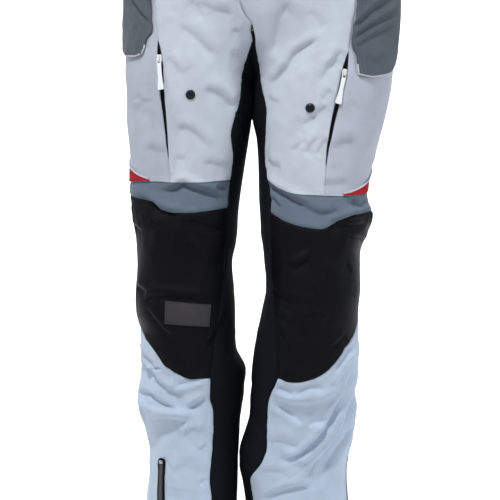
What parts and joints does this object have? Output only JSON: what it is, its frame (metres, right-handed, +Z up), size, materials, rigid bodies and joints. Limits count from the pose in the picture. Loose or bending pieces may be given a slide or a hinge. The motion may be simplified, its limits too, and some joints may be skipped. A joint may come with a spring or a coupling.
{
  "type": "motorcycle trousers",
  "caption": "Worn motorcycle trousers in light grey cloth with black knee and inside leg panels, grey hip flaps, red inserts and slanting thigh zips.",
  "frame": {"origin": "middle of the waist opening, level with the waistband's upper edge, where the wearer's waist holds the trousers", "axes": "+Z up through the waist opening, +X to the wearer's left, the front faces -Y"},
  "size_m": [0.4159, 0.2966, 1.0751],
  "materials": {
    "light_cloth": "matt woven polyester, light grey",
    "side_cloth": "matt woven polyester, slightly mauve grey",
    "shin_cloth": "matt woven polyester, pale blue grey",
    "mid_grey_cloth": "matt woven polyester, mid grey",
    "slate_cloth": "matt woven polyester, slate grey",
    "stretch_cloth": "black stretch knit",
    "knee_cloth": "black hard-wearing weave, slight sheen",
    "knee_patch": "dark grey smooth patch",
    "red_cloth": "matt red weave",
    "piping": "pale woven piping",
    "zip_tape": "black woven zip tape",
    "zip_metal": "dull nickel",
    "white_pull": "moulded white pull",
    "black_snap": "black snap cap"
  },
  "bodies": {
    "trousers": {"waistband": "mid_grey_cloth", "waist_button": "zip_metal", "right_front_thigh": "light_cloth", "left_front_thigh": "light_cloth", "right_pocket_panel": "side_cloth", "left_pocket_panel": "side_cloth", "right_hip_flap": "mid_grey_cloth", "left_hip_flap": "mid_grey_cloth", "right_flap_piping": "piping", "left_flap_piping": "piping", "right_thigh_zip_tape": "zip_tape", "left_thigh_zip_tape": "zip_tape", "right_thigh_zip_slider": "zip_metal", "left_thigh_zip_slider": "zip_metal", "right_thigh_snap": "black_snap", "left_thigh_snap": "black_snap", "right_red_insert": "red_cloth", "left_red_insert": "red_cloth", "right_red_piping": "piping", "left_red_piping": "piping", "right_knee_band": "slate_cloth", "left_knee_band": "slate_cloth", "right_knee_panel": "knee_cloth", "left_knee_panel": "knee_cloth", "right_knee_patch": "knee_patch", "right_inner_panel": "stretch_cloth", "left_inner_panel": "stretch_cloth", "right_shin_panel": "shin_cloth", "left_shin_panel": "shin_cloth", "right_back_panel": "light_cloth", "left_back_panel": "light_cloth", "right_hem_zip_tape": "zip_tape", "left_hem_zip_tape": "zip_tape", "right_hem_zip_stop": "zip_metal", "left_hem_zip_stop": "zip_metal", "right_hem_zip_slider": "zip_metal", "left_hem_zip_slider": "zip_metal"},
    "right_thigh_pull": {"right_thigh_zip_pull": "white_pull"},
    "left_thigh_pull": {"left_thigh_zip_pull": "white_pull"},
    "right_hem_pull": {"right_hem_zip_pull": "zip_metal"},
    "left_hem_pull": {"left_hem_zip_pull": "zip_metal"}
  },
  "joints": [
    {"name": "right_thigh_pull_swing", "type": "hinge", "parent": "trousers", "child": "right_thigh_pull", "pos_m": [-0.1347, -0.10961, -0.3046], "axis": [-0.9012, 0.4035, -0.1581], "range_deg": [0, 150]},
    {"name": "left_thigh_pull_swing", "type": "hinge", "parent": "trousers", "child": "left_thigh_pull", "pos_m": [0.13352, -0.1175, -0.32568], "axis": [-0.9433, -0.2165, 0.2517], "range_deg": [0, 150]},
    {"name": "right_hem_pull_swing", "type": "hinge", "parent": "trousers", "child": "right_hem_pull", "pos_m": [-0.1384, -0.06167, -1.04514], "axis": [-0.7754, 0.631, 0.0237], "range_deg": [0, 150]},
    {"name": "left_hem_pull_swing", "type": "hinge", "parent": "trousers", "child": "left_hem_pull", "pos_m": [0.14997, 0.00747, -1.04482], "axis": [-0.0165, -0.9967, -0.0799], "range_deg": [0, 150]}
  ]
}
